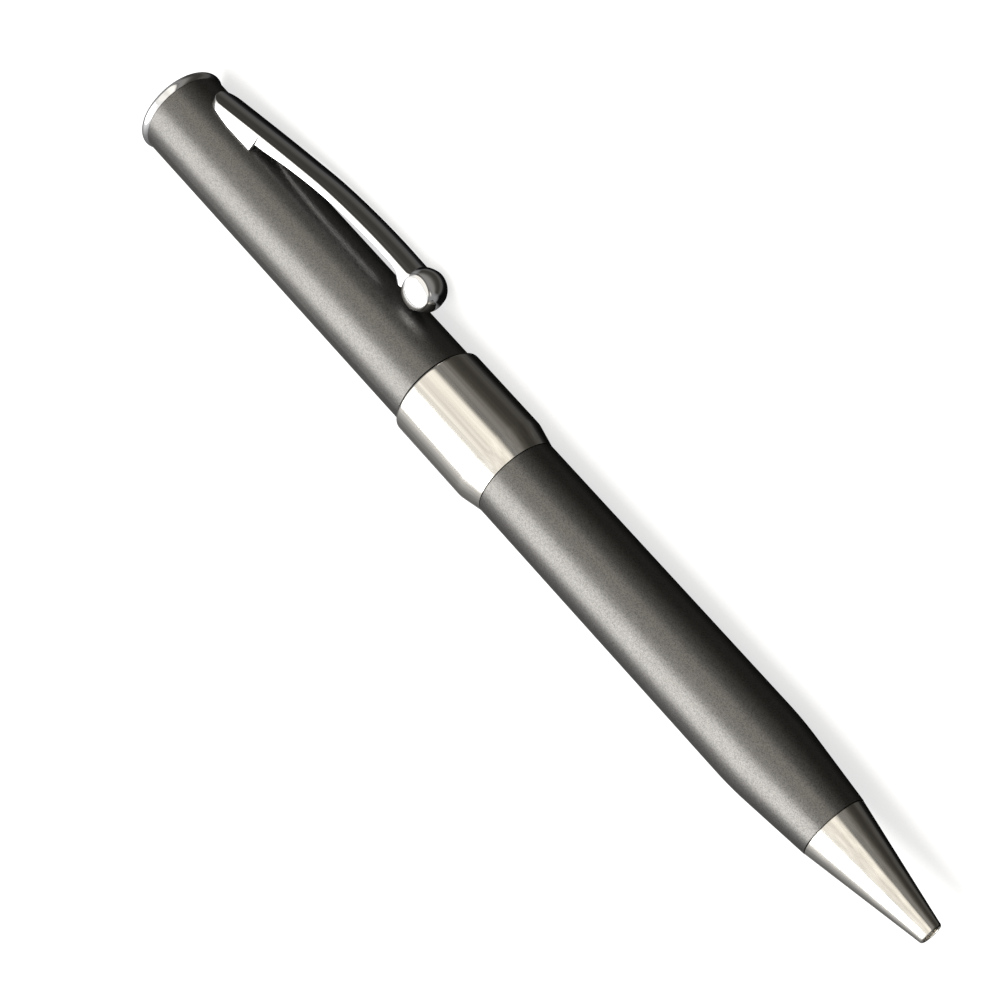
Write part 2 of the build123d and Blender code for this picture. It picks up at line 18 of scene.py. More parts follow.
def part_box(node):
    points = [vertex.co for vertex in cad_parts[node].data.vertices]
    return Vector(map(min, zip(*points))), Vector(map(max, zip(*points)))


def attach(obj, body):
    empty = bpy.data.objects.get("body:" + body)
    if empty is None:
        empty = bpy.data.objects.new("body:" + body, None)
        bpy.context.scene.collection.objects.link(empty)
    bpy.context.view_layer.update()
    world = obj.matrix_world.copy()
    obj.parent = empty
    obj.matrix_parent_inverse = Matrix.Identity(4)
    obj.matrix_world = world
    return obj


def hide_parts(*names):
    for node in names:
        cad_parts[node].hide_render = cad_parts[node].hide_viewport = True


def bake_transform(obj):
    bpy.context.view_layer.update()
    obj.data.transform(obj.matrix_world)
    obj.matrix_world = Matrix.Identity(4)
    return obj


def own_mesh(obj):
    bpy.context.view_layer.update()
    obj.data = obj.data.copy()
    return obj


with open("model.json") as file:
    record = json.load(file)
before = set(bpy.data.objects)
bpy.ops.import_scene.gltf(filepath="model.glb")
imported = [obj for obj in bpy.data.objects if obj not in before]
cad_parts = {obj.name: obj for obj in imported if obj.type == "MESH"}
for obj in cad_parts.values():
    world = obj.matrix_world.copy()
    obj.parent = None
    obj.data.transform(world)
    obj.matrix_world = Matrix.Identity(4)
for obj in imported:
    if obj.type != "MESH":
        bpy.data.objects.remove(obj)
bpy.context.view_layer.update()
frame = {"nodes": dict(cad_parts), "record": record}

# %% [markdown]
# ## Where things are
#
# A pen is turned round one line, so nearly every shape here is a radius at a station. The
# clip has two directions of its own: outwards from the pen's axis through the middle of the
# clip, and across it. Three points from the CAD give both: the tip, the band and the ball.

# %% Stations, and the clip's own directions
MM = 0.001
pen_length = 140.0
band_low, band_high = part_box("centre_band")
axis_y = (band_low.y + band_high.y) / 2
axis_z = (band_low.z + band_high.z) / 2
tip = Vector((-pen_length / 2 * MM, axis_y, axis_z))

ball_low, ball_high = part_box("clip_ball")
ball_middle = (ball_low + ball_high) / 2
clip_out = Vector((0, ball_middle.y - axis_y, ball_middle.z - axis_z)).normalized()
clip_across = Vector((0, -clip_out.z, clip_out.y))


def place(station, out=0.0, across=0.0):
    """Point in the scene from a station and the clip's two directions, all in millimetres."""
    return tip + Vector((station * MM, 0, 0)) + clip_out * (out * MM) + clip_across * (across * MM)


print("axis at y %.2f mm, z %.2f mm" % (axis_y / MM, axis_z / MM))
print("clip points", [round(v, 3) for v in clip_out], "across", [round(v, 3) for v in clip_across])

# %% [markdown]
# ## Camera
#
# The pen is seen from above its clip side, with the writing tip nearer to the lens than the
# crown, and the whole picture is rolled so that the pen runs from upper left to lower right.
# A long lens keeps the barrel's sides nearly parallel. Aiming first and rolling afterwards
# keeps the two decisions apart: `to_track_quat` aims the camera, and a turn round its own
# line of sight rolls it.

# %% Aim and roll the camera
camera_place = Vector((-123.53, -289.09, 161.19)) * MM
aim_place = Vector((1.547, 3.689, 9.14)) * MM
camera_roll = radians(-121.65)

camera_data = bpy.data.cameras.new("camera")
camera_data.lens = 107.82
camera_data.sensor_width = 36.0
camera_data.clip_start = 0.01
camera = bpy.data.objects.new("camera", camera_data)
bpy.context.scene.collection.objects.link(camera)
bpy.context.scene.camera = camera
aim = (aim_place - camera_place).to_track_quat("-Z", "Y")
camera.rotation_mode = "QUATERNION"
camera.rotation_quaternion = aim @ Quaternion((0, 0, 1), camera_roll)
camera.location = camera_place
print("camera is", round((aim_place - camera_place).length / MM), "mm from the pen")

# %% [markdown]
# ## Light
#
# Polished metal shows its surroundings more than itself, so the light is planned as what each
# side of the pen reflects. A wide softbox hangs overhead and gives the broad white stripe.
# The wall on the clip's side is a warm cream board, the far side falls off to grey, and below
# the table's level it is dark, which gives the metal its black lower edge.
# The softbox is an area light. The boards are painted into the world's colour by the angle
# round the pen, from 0 at the clip's side through 90 overhead to 180 on the far side.
# Straight along the pen every angle would meet in one point, and a flat end would show them
# as a fan. So the boards fade to one plain grey there, like the studio's end walls.

# %% Boards round the pen, painted into the world
board_tones = [
    # angle round the pen in degrees, brightness, warmth
    (-180, 0.14, 0.0),
    (-162, 0.30, 0.0),
    (-148, 0.006, 0.0),
    (-110, 0.004, 0.0),
    (-97, 0.02, 0.0),
    (-90, 0.09, 0.0),
    (-78, 0.10, 1.2),
    (-64, 0.05, 1.6),
    (-50, 0.055, 1.6),
    (-40, 0.09, 1.4),
    (-24, 0.28, 0.9),
    (-10, 0.28, 0.3),
    (-3, 0.17, 0.4),
    (2, 1.05, 1.0),
    (8, 1.32, 1.0),
    (18, 1.32, 1.0),
    (28, 1.02, 1.0),
    (38, 1.18, 0.9),
    (48, 1.18, 0.8),
    (60, 1.00, 0.5),
    (112, 1.60, 0.2),
    (122, 0.85, 0.1),
    (138, 0.50, 0.0),
    (152, 0.28, 0.0),
    (179, 0.14, 0.0),
]
board_gain = 2.0

world = bpy.data.worlds.new("studio")
bpy.context.scene.world = world
world.use_nodes = True
paint = world.node_tree
paint.nodes.clear()


def step(tree, kind, place_x, place_y, **values):
    """Adds one node and sets its inputs or properties by name."""
    made = tree.nodes.new(kind)
    made.location = (place_x, place_y)
    for key, value in values.items():
        name = key.replace("_", " ")
        if name in made.inputs:
            made.inputs[name].default_value = value
        else:
            setattr(made, key, value)
    return made


direction = step(paint, "ShaderNodeTexCoord", -1200, 0)
parts = step(paint, "ShaderNodeSeparateXYZ", -1000, 0)
flip = step(paint, "ShaderNodeMath", -800, -100, operation="MULTIPLY")
flip.inputs[1].default_value = -1.0
angle = step(paint, "ShaderNodeMath", -600, 0, operation="ARCTAN2")
share = step(paint, "ShaderNodeMapRange", -400, 0)
share.inputs["From Min"].default_value = -pi
share.inputs["From Max"].default_value = pi
boards = step(paint, "ShaderNodeValToRGB", -200, 0)
paint.links.new(direction.outputs["Generated"], parts.inputs[0])
paint.links.new(parts.outputs["Y"], flip.inputs[0])
paint.links.new(parts.outputs["Z"], angle.inputs[0])
paint.links.new(flip.outputs[0], angle.inputs[1])
paint.links.new(angle.outputs[0], share.inputs["Value"])
paint.links.new(share.outputs["Result"], boards.inputs["Fac"])

ramp = boards.color_ramp
green_drop, blue_drop = 0.035, 0.11        # what one unit of warmth takes away
while len(ramp.elements) < len(board_tones):
    ramp.elements.new(0.5)
for element, (degrees_round, tone, warmth) in zip(ramp.elements, board_tones):
    element.position = (degrees_round + 180) / 360
    value = tone / board_gain
    element.color = (value, value * (1 - green_drop * warmth), value * (1 - blue_drop * warmth), 1)

end_grey = 0.30
fade_from, fade_to = 0.86, 0.97            # how nearly a direction runs along the pen
sideways = step(paint, "ShaderNodeMath", -800, -350, operation="ABSOLUTE")
near_end = step(paint, "ShaderNodeMapRange", -600, -350)
near_end.inputs["From Min"].default_value = fade_from
near_end.inputs["From Max"].default_value = fade_to
walls = step(paint, "ShaderNodeMix", 0, -50, data_type="RGBA")
wall_value = end_grey / board_gain
walls.inputs[7].default_value = (wall_value, wall_value, wall_value, 1)
paint.links.new(parts.outputs["X"], sideways.inputs[0])
paint.links.new(sideways.outputs[0], near_end.inputs["Value"])
paint.links.new(near_end.outputs["Result"], walls.inputs[0])
paint.links.new(boards.outputs["Color"], walls.inputs[6])

seen = step(paint, "ShaderNodeBackground", 150, 150, Color=(1, 1, 1, 1), Strength=1.0)
lit = step(paint, "ShaderNodeBackground", 150, -50, Strength=board_gain)
eye = step(paint, "ShaderNodeLightPath", 150, 450)
either = step(paint, "ShaderNodeMixShader", 400, 100)
out = step(paint, "ShaderNodeOutputWorld", 600, 100)
paint.links.new(walls.outputs[2], lit.inputs["Color"])
paint.links.new(eye.outputs["Is Camera Ray"], either.inputs[0])
paint.links.new(lit.outputs[0], either.inputs[1])
paint.links.new(seen.outputs[0], either.inputs[2])
paint.links.new(either.outputs[0], out.inputs["Surface"])
print("boards:", len(board_tones), "tones round the pen")

# %% The overhead softbox
softbox_height = 0.60
softbox_radiance = 3.2
softbox_edges = (radians(64), radians(117))        # angle round the pen
softbox_near = -softbox_height / sin(softbox_edges[0]) * cos(softbox_edges[0])
softbox_far = -softbox_height / sin(softbox_edges[1]) * cos(softbox_edges[1])
softbox_left, softbox_right = -0.30, 0.62

softbox_data = bpy.data.lights.new("softbox", "AREA")
softbox_data.shape = "RECTANGLE"
softbox_data.size = softbox_right - softbox_left
softbox_data.size_y = softbox_far - softbox_near
softbox_data.energy = softbox_radiance * pi * softbox_data.size * softbox_data.size_y
softbox_data.color = (1.0, 0.99, 0.97)
softbox = bpy.data.objects.new("softbox", softbox_data)
softbox.location = (
    (softbox_left + softbox_right) / 2,
    axis_y + (softbox_near + softbox_far) / 2,
    axis_z + softbox_height,
)
bpy.context.scene.collection.objects.link(softbox)
print("softbox %.2f by %.2f m, %.1f W" % (softbox_data.size, softbox_data.size_y, softbox_data.energy))

# %% [markdown]
# ## Floor
#
# The floor is a plain pale sheet. A real one would throw light up under the pen and wash out
# the dark lower edge that makes polished metal look like metal, so a studio lays black
# card just out of view. Here the sheet is simply left out of the pen's reflections.

# %% The pale floor
floor_half = 12.0
floor_mesh = bpy.data.meshes.new("floor")
corners = [(-1, -1), (1, -1), (1, 1), (-1, 1)]
floor_mesh.from_pydata([(x * floor_half, y * floor_half, 0) for x, y in corners], [], [(0, 1, 2, 3)])
floor = bpy.data.objects.new("floor", floor_mesh)
bpy.context.scene.collection.objects.link(floor)
floor.visible_glossy = False
floor.visible_diffuse = False

floor_paper = bpy.data.materials.new("floor_paper")
floor_paper.use_nodes = True
floor_shader = floor_paper.node_tree.nodes["Principled BSDF"]
floor_shader.inputs["Base Color"].default_value = (0.30, 0.30, 0.30, 1)
floor_shader.inputs["Emission Color"].default_value = (1.0, 1.0, 1.0, 1)
floor_shader.inputs["Emission Strength"].default_value = 0.70
floor_shader.inputs["Roughness"].default_value = 0.9
floor_shader.inputs["Specular IOR Level"].default_value = 0.0
floor_mesh.materials.append(floor_paper)
bpy.context.scene.view_settings.view_transform = "Standard"
print("floor at z = 0")

# %% [markdown]
# ## Shared surface effects
#
# Several finishes on this pen share the same small effects. A lathe leaves fine rings round a
# turned piece, a polishing mop leaves faint lines along it, and hands leave soft cloudy
# patches. Each effect is built once as a node group with its own inputs, and every finish
# takes it with its own values. The groups read the Object coordinate, which here is the place
# on the pen itself, so the pattern moves with the piece when a joint moves.


# %% A group builder
def effect_group(name, inputs, outputs):
    """Empty shader group with named float inputs, and outputs given as (name, socket type)."""
    group = bpy.data.node_groups.new(name, "ShaderNodeTree")
    for label, value in inputs.items():
        socket = group.interface.new_socket(name=label, in_out="INPUT", socket_type="NodeSocketFloat")
        socket.default_value = value
    for label, kind in outputs:
        group.interface.new_socket(name=label, in_out="OUTPUT", socket_type=kind)
    entry = step(group, "NodeGroupInput", -1400, 0)
    leave = step(group, "NodeGroupOutput", 600, 0)
    return group, entry, leave


def use_group(tree, group, place_x, place_y, **values):
    """Places a group in a material and sets its inputs."""
    made = step(tree, "ShaderNodeGroup", place_x, place_y)
    made.node_tree = group
    for key, value in values.items():
        made.inputs[key.replace("_", " ")].default_value = value
    return made


# %% [markdown]
# ### Lathe rings
#
# Rings left by a turning tool differ only along the pen. A noise texture that is given the
# station alone, and no other direction, draws exactly that.

# %% Lathe rings
lathe_rings, entry, leave = effect_group(
    "lathe_rings", {"Rings": 6000.0}, [("Height", "NodeSocketFloat")]
)
where = step(lathe_rings, "ShaderNodeTexCoord", -1200, 0)
split = step(lathe_rings, "ShaderNodeSeparateXYZ", -1000, 0)
rings = step(lathe_rings, "ShaderNodeTexNoise", -600, 0, noise_dimensions="1D", Detail=3.0)
lathe_rings.links.new(where.outputs["Object"], split.inputs[0])
lathe_rings.links.new(split.outputs["X"], rings.inputs["W"])
lathe_rings.links.new(entry.outputs["Rings"], rings.inputs["Scale"])
lathe_rings.links.new(rings.outputs["Fac"], leave.inputs["Height"])
print("group", lathe_rings.name)

# %% [markdown]
# ### Polishing lines
#
# The mop runs along the pen, so its lines are long in X and fine round the barrel. Squeezing
# the X coordinate before the noise stretches the pattern that way.

# %% Polishing lines
polish_lines, entry, leave = effect_group(
    "polish_lines", {"Fineness": 2500.0, "Stretch": 0.02}, [("Height", "NodeSocketFloat")]
)
where = step(polish_lines, "ShaderNodeTexCoord", -1200, 0)
split = step(polish_lines, "ShaderNodeSeparateXYZ", -1000, 0)
squeeze = step(polish_lines, "ShaderNodeMath", -800, 100, operation="MULTIPLY")
join = step(polish_lines, "ShaderNodeCombineXYZ", -600, 0)
lines = step(polish_lines, "ShaderNodeTexNoise", -400, 0, Detail=4.0, Roughness=0.6)
polish_lines.links.new(where.outputs["Object"], split.inputs[0])
polish_lines.links.new(split.outputs["X"], squeeze.inputs[0])
polish_lines.links.new(entry.outputs["Stretch"], squeeze.inputs[1])
polish_lines.links.new(squeeze.outputs[0], join.inputs["X"])
polish_lines.links.new(split.outputs["Y"], join.inputs["Y"])
polish_lines.links.new(split.outputs["Z"], join.inputs["Z"])
polish_lines.links.new(join.outputs[0], lines.inputs["Vector"])
polish_lines.links.new(entry.outputs["Fineness"], lines.inputs["Scale"])
polish_lines.links.new(lines.outputs["Fac"], leave.inputs["Height"])
print("group", polish_lines.name)

# %% [markdown]
# ### Handling marks
#
# Skin leaves a thin uneven film that makes some patches a little duller. It shows in the
# roughness more than in the colour, so the group puts out a roughness that drifts between
# two values in soft clouds.

# %% Handling marks
handling, entry, leave = effect_group(
    "handling", {"Clean": 0.1, "Handled": 0.2, "Size": 160.0}, [("Roughness", "NodeSocketFloat")]
)
where = step(handling, "ShaderNodeTexCoord", -1200, 0)
clouds = step(handling, "ShaderNodeTexNoise", -900, 0, Detail=5.0, Roughness=0.65, Distortion=0.4)
drift = step(handling, "ShaderNodeMapRange", -500, 0)
drift.inputs["From Min"].default_value = 0.35
drift.inputs["From Max"].default_value = 0.68
handling.links.new(where.outputs["Object"], clouds.inputs["Vector"])
handling.links.new(entry.outputs["Size"], clouds.inputs["Scale"])
handling.links.new(clouds.outputs["Fac"], drift.inputs["Value"])
handling.links.new(entry.outputs["Clean"], drift.inputs["To Min"])
handling.links.new(entry.outputs["Handled"], drift.inputs["To Max"])
handling.links.new(drift.outputs["Result"], leave.inputs["Roughness"])
print("group", handling.name)

# %% [markdown]
# ### Moulded skin
#
# Plastic and rubber pieces copy the fine texture of their mould. Two sizes of noise, added,
# give a skin that is neither a flat colour nor a pattern.

# %% Moulded skin
moulded_skin, entry, leave = effect_group(
    "moulded_skin", {"Grain": 9000.0}, [("Height", "NodeSocketFloat"), ("Tone", "NodeSocketFloat")]
)
where = step(moulded_skin, "ShaderNodeTexCoord", -1200, 0)
grain = step(moulded_skin, "ShaderNodeTexNoise", -800, 100, Detail=3.0)
patches = step(moulded_skin, "ShaderNodeTexNoise", -800, -200, Scale=350.0, Detail=2.0)
both = step(moulded_skin, "ShaderNodeMath", -400, 0, operation="MULTIPLY_ADD")
both.inputs[1].default_value = 0.6
moulded_skin.links.new(where.outputs["Object"], grain.inputs["Vector"])
moulded_skin.links.new(where.outputs["Object"], patches.inputs["Vector"])
moulded_skin.links.new(entry.outputs["Grain"], grain.inputs["Scale"])
moulded_skin.links.new(grain.outputs["Fac"], both.inputs[0])
moulded_skin.links.new(patches.outputs["Fac"], both.inputs[2])
moulded_skin.links.new(both.outputs[0], leave.inputs["Height"])
moulded_skin.links.new(patches.outputs["Fac"], leave.inputs["Tone"])
print("group", moulded_skin.name)


# %% [markdown]
# ## Finishes
#
# Each finish is one Principled shader. What is the same all over the piece is set on the
# shader itself, and only what changes over the surface is linked in from a node.


# %% A finish builder
def new_finish(name, **values):
    """Material with one Principled shader, and its constant inputs set by name."""
    made = bpy.data.materials.new(name)
    made.use_nodes = True
    shader = made.node_tree.nodes["Principled BSDF"]
    for key, value in values.items():
        shader.inputs[key.replace("_", " ")].default_value = value
    return made, made.node_tree, shader


def tone_between(tree, dark, light, place_x, place_y):
    """Colour ramp between two tones."""
    made = step(tree, "ShaderNodeValToRGB", place_x, place_y)
    made.color_ramp.elements[0].color = (*dark, 1)
    made.color_ramp.elements[1].color = (*light, 1)
    return made


def bump_from(tree, height, shader, distance, strength):
    """Feeds a height into the shader's normal. Distance is in metres."""
    made = step(tree, "ShaderNodeBump", -200, -400, Strength=strength, Distance=distance)
    tree.links.new(height, made.inputs["Height"])
    tree.links.new(made.outputs["Normal"], shader.inputs["Normal"])
    return made


# %% [markdown]
# ### Gunmetal lacquer
#
# Both barrels wear a matt metallic lacquer: a grey base full of tiny aluminium flakes under a
# thin satin coat. The flakes lie at slightly different angles, so each one catches the light
# on its own and the surface sparkles finely. Small cells of a Voronoi texture stand for the
# flakes. A random grey per cell changes the colour a little, and the same random value,
# read as a height, tips the surface under each flake.

# %% Gunmetal lacquer
lacquer, tree, shader = new_finish("gunmetal_lacquer", Metallic=1.0)
where = step(tree, "ShaderNodeTexCoord", -1300, 0)
flakes = step(tree, "ShaderNodeTexVoronoi", -1100, 100, Scale=11000.0)
grey = step(tree, "ShaderNodeSeparateColor", -900, 100)
mist = step(tree, "ShaderNodeTexNoise", -1100, -200, Scale=7000.0, Detail=2.0, Roughness=0.6)
blend = step(tree, "ShaderNodeMath", -700, 0, operation="MULTIPLY_ADD")
blend.inputs[1].default_value = 0.6
lacquer_tone = tone_between(tree, (0.09, 0.087, 0.084), (0.18, 0.176, 0.169), -450, 100)
lacquer_tone.color_ramp.elements[0].position = 0.35
tree.links.new(where.outputs["Object"], flakes.inputs["Vector"])
tree.links.new(where.outputs["Object"], mist.inputs["Vector"])
tree.links.new(flakes.outputs["Color"], grey.inputs[0])
tree.links.new(grey.outputs[0], blend.inputs[0])
tree.links.new(mist.outputs["Fac"], blend.inputs[2])
tree.links.new(blend.outputs[0], lacquer_tone.inputs["Fac"])
tree.links.new(lacquer_tone.outputs["Color"], shader.inputs["Base Color"])
film = use_group(tree, handling, -450, -250, Clean=0.34, Handled=0.385, Size=90.0)
tree.links.new(film.outputs["Roughness"], shader.inputs["Roughness"])
bump_from(tree, blend.outputs[0], shader, 0.00001, 0.5)
print("finish", lacquer.name)

# %% [markdown]
# ### Warm nickel
#
# The nose and the band are turned from brass and plated with nickel, which is a little
# yellower than chrome. The plating is polished but not to a mirror: faint mop lines run along
# it and drag each reflection out into streaks, and very fine lathe rings are left beneath.

# %% Warm nickel
nickel, tree, shader = new_finish("warm_nickel", Metallic=1.0)
mop = use_group(tree, polish_lines, -900, 100, Fineness=2200.0, Stretch=0.012)
lathe = use_group(tree, lathe_rings, -900, -200, Rings=9000.0)
nickel_tone = tone_between(tree, (0.60, 0.575, 0.53), (0.80, 0.775, 0.73), -450, 150)
nickel_tone.color_ramp.elements[0].position = 0.3
nickel_tone.color_ramp.elements[1].position = 0.7
tree.links.new(mop.outputs["Height"], nickel_tone.inputs["Fac"])
tree.links.new(nickel_tone.outputs["Color"], shader.inputs["Base Color"])
film = use_group(tree, handling, -450, -150, Clean=0.13, Handled=0.19, Size=140.0)
tree.links.new(film.outputs["Roughness"], shader.inputs["Roughness"])
both = step(tree, "ShaderNodeMath", -600, -350, operation="MULTIPLY_ADD")
both.inputs[1].default_value = 0.25
tree.links.new(lathe.outputs["Height"], both.inputs[0])
tree.links.new(mop.outputs["Height"], both.inputs[2])
bump_from(tree, both.outputs[0], shader, 0.000004, 0.6)
print("finish", nickel.name)

# %% [markdown]
# ### Bright chrome
#
# The crown and the clip are polished harder and plated with chrome. It is neutral in colour
# and nearly a mirror, so its detail is mostly the film that fingers leave.

# %% Bright chrome
chrome, tree, shader = new_finish("bright_chrome", Metallic=1.0)
mop = use_group(tree, polish_lines, -900, 100, Fineness=1500.0, Stretch=0.05)
chrome_tone = tone_between(tree, (0.76, 0.76, 0.77), (0.84, 0.84, 0.85), -450, 150)
tree.links.new(mop.outputs["Height"], chrome_tone.inputs["Fac"])
tree.links.new(chrome_tone.outputs["Color"], shader.inputs["Base Color"])
film = use_group(tree, handling, -450, -150, Clean=0.05, Handled=0.11, Size=260.0)
tree.links.new(film.outputs["Roughness"], shader.inputs["Roughness"])
bump_from(tree, mop.outputs["Height"], shader, 0.000003, 0.4)
print("finish", chrome.name)

# %% [markdown]
# ### Metals inside the pen
#
# The bushes and the refill's point are plain turned brass, and the refill's tube, the spring
# and the small pins are steel. Nobody polishes them, so their lathe rings show clearly.


# %% Brass and steel
def turned_metal(name, dark, light, clean, handled, rings_per_metre):
    """Unplated metal straight from the lathe."""
    made, tree, shader = new_finish(name, Metallic=1.0)
    lathe = use_group(tree, lathe_rings, -900, 100, Rings=rings_per_metre)
    tone = tone_between(tree, dark, light, -450, 150)
    tree.links.new(lathe.outputs["Height"], tone.inputs["Fac"])
    tree.links.new(tone.outputs["Color"], shader.inputs["Base Color"])
    film = use_group(tree, handling, -450, -150, Clean=clean, Handled=handled, Size=200.0)
    tree.links.new(film.outputs["Roughness"], shader.inputs["Roughness"])
    bump_from(tree, lathe.outputs["Height"], shader, 0.00001, 0.6)
    print("finish", made.name)
    return made


brass = turned_metal("turned_brass", (0.62, 0.44, 0.18), (0.86, 0.68, 0.34), 0.22, 0.34, 5000.0)
steel = turned_metal("bright_steel", (0.50, 0.50, 0.51), (0.70, 0.70, 0.71), 0.20, 0.32, 7000.0)

# %% [markdown]
# ### Plastics, rubber and ink
#
# The mechanism's moulded pieces are acetal, left natural white where they slide and black
# where they only hold. The rings are soft rubber. The ink is a thick glossy paste.


# %% Acetal, rubber and ink
def moulded(name, dark, light, clean, handled, grain, depth):
    """Moulded piece with a fine skin and a slightly uneven tone."""
    made, tree, shader = new_finish(name, Metallic=0.0)
    skin = use_group(tree, moulded_skin, -900, 100, Grain=grain)
    tone = tone_between(tree, dark, light, -450, 150)
    tree.links.new(skin.outputs["Tone"], tone.inputs["Fac"])
    tree.links.new(tone.outputs["Color"], shader.inputs["Base Color"])
    film = use_group(tree, handling, -450, -150, Clean=clean, Handled=handled, Size=300.0)
    tree.links.new(film.outputs["Roughness"], shader.inputs["Roughness"])
    bump_from(tree, skin.outputs["Height"], shader, depth, 0.5)
    print("finish", made.name)
    return made


black_acetal = moulded("black_acetal", (0.012, 0.012, 0.013), (0.03, 0.03, 0.032), 0.38, 0.5, 9000.0, 0.00002)
white_acetal = moulded("white_acetal", (0.70, 0.69, 0.66), (0.84, 0.83, 0.80), 0.36, 0.46, 7000.0, 0.00002)
rubber = moulded("ring_rubber", (0.008, 0.008, 0.008), (0.022, 0.022, 0.022), 0.6, 0.75, 12000.0, 0.00003)
ink = moulded("ink_paste", (0.004, 0.006, 0.03), (0.012, 0.016, 0.07), 0.12, 0.2, 3000.0, 0.00001)

finishes = {
    "lacquer": lacquer,
    "nickel": nickel,
    "chrome": chrome,
    "brass": brass,
    "steel": steel,
    "acetal": black_acetal,
    "white_acetal": white_acetal,
    "rubber": rubber,
    "ink": ink,
}

# %% Give every CAD piece its finish
for subpart in frame["record"]["subparts"]:
    cad_piece = frame["nodes"][subpart["node"]]
    cad_piece.data.materials.clear()
    cad_piece.data.materials.append(finishes[subpart["material_slot"]])

# %% [markdown]
# ## Rebuilding the outside
#
# The pieces that a hand or an eye meets are rebuilt here, each from a measured outline. On
# the real pen no edge is perfectly sharp: plating builds up on a corner and polishing wears
# it down. A small curve in place of every corner gives the thin bright line that such an
# edge catches.
# Most of them are lathe work, so the first helper softens an outline's corners and the
# second swings the outline round a line, as the lathe does.


# %% Soft outlines and lathe work
def soft_outline(corners, bend_steps=6):
    """Outline with each corner, given as (along, radius, softness), turned into a curve."""
    points = []
    count = len(corners)
    for index, (along, radius, softness) in enumerate(corners):
        corner = Vector((along, radius))
        if softness == 0:
            points.append(corner)
            continue
        before = Vector(corners[index - 1][:2]) - corner
        after = Vector(corners[(index + 1) % count][:2]) - corner
        first = corner + before.normalized() * softness
        last = corner + after.normalized() * softness
        for number in range(bend_steps + 1):
            share = number / bend_steps
            points.append((1 - share) ** 2 * first + 2 * share * (1 - share) * corner + share**2 * last)
    return points


def bulge(first, middle, last, bulge_steps=14):
    """Corners of a gentle curve through three points, ready for an outline."""
    pull = [2 * m - (a + b) / 2 for a, m, b in zip(first, middle, last)]
    curve = []
    for number in range(bulge_steps + 1):
        share = number / bulge_steps
        weights = ((1 - share) ** 2, 2 * share * (1 - share), share**2)
        along, radius = [sum(w * v for w, v in zip(weights, trio)) for trio in zip(first, pull, last)]
        curve.append((along, radius, 0))
    return curve


def finished_mesh(name, points, faces, finish_name, crease=32):
    """Mesh object with its finish, smooth except where it turns sharply."""
    shape = bmesh.new()
    made = [shape.verts.new(point) for point in points]
    for face in faces:
        shape.faces.new([made[index] for index in face])
    bmesh.ops.remove_doubles(shape, verts=shape.verts, dist=1e-7)
    bmesh.ops.recalc_face_normals(shape, faces=shape.faces)
    mesh = bpy.data.meshes.new(name)
    shape.to_mesh(mesh)
    shape.free()
    mesh.polygons.foreach_set("use_smooth", [True] * len(mesh.polygons))
    mesh.set_sharp_from_angle(angle=radians(crease))
    mesh.materials.append(finishes[finish_name])
    piece = bpy.data.objects.new(name, mesh)
    bpy.context.scene.collection.objects.link(piece)
    return piece


def turned(name, outline, finish_name, closed=True, foot=None, spindle=None, round_steps=144):
    """Swings an outline round the pen's axis, or round another spindle given as three vectors."""
    foot = tip if foot is None else foot
    ahead, up, aside = spindle or (Vector((1, 0, 0)), Vector((0, 0, 1)), Vector((0, 1, 0)))
    points = []
    for number in range(round_steps):
        turn = 2 * pi * number / round_steps
        outward = up * cos(turn) + aside * sin(turn)
        points += [foot + ahead * (along * MM) + outward * (radius * MM) for along, radius in outline]
    size = len(outline)
    steps_along = size if closed else size - 1
    faces = []
    for number in range(round_steps):
        here = number * size
        there = (number + 1) % round_steps * size
        for index in range(steps_along):
            following = (index + 1) % size
            faces.append((here + index, here + following, there + following, there + index))
    piece = finished_mesh(name, points, faces, finish_name)
    print(name, "has", len(piece.data.vertices), "points")
    return piece


# %% [markdown]
# ### Nose cone
#
# A plated brass cone. Its mouth is rolled into a rounded lip round the refill's point, and
# a spigot behind it goes into the lower barrel. The bore is stepped: narrow at the point,
# wide for the spring, and wider again for the refill.

# %% Nose cone
nose_outline = soft_outline([
    (0.0, 1.22, 0.12),
    (0.0, 1.5, 0.24),
    (15.95, 4.42, 0.06),
    (15.95, 3.95, 0),
    (23.0, 3.95, 0.1),
    (23.0, 3.14, 0.1),
    (16.0, 3.14, 0),
    (13.8, 2.15, 0),
    (8.0, 2.15, 0),
    (8.0, 1.22, 0),
])
nose = turned("nose_turning", nose_outline, "nickel")
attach(nose, "lower")
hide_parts("nose_cone")

# %% [markdown]
# ### Lower barrel
#
# A drawn tube whose front is pressed in over the nose's spigot. The press leaves a long soft
# shoulder between the cone and the straight part, so the shoulder is a wide curve here.

# %% Lower barrel
lower_outline = soft_outline([
    (16.05, 3.95, 0),
    (16.05, 4.47, 0.05),
    (27.4, 5.63, 2.4),
    (72.15, 5.63, 0.05),
    (72.15, 5.11, 0),
    (29.0, 5.11, 0),
    (23.0, 3.95, 0),
])
lower = turned("lower_tube", lower_outline, "lacquer")
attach(lower, "lower")
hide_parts("lower_barrel")

# %% [markdown]
# ### Centre band
#
# The band is the thickest piece and the one the pen rests on. A short cone leads up to it
# from the lower barrel, with a kink that polishing has softened, and its other end is a
# small round shoulder above the joint that turns.

# %% Centre band
band_outline = soft_outline([
    (72.25, 5.3, 0),
    (72.25, 5.63, 0.05),
    (75.3, 6.33, 0.34),
    (87.35, 6.33, 0.42),
    (87.35, 5.3, 0),
])
band = turned("band_turning", band_outline, "nickel")
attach(band, "lower")
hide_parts("centre_band")

# %% [markdown]
# ### Crown
#
# The crown is one chromed piece: a round bead a little wider than the barrel, a low dome
# above it and a hollow spigot that goes down into the barrel, with a hub for the stud.

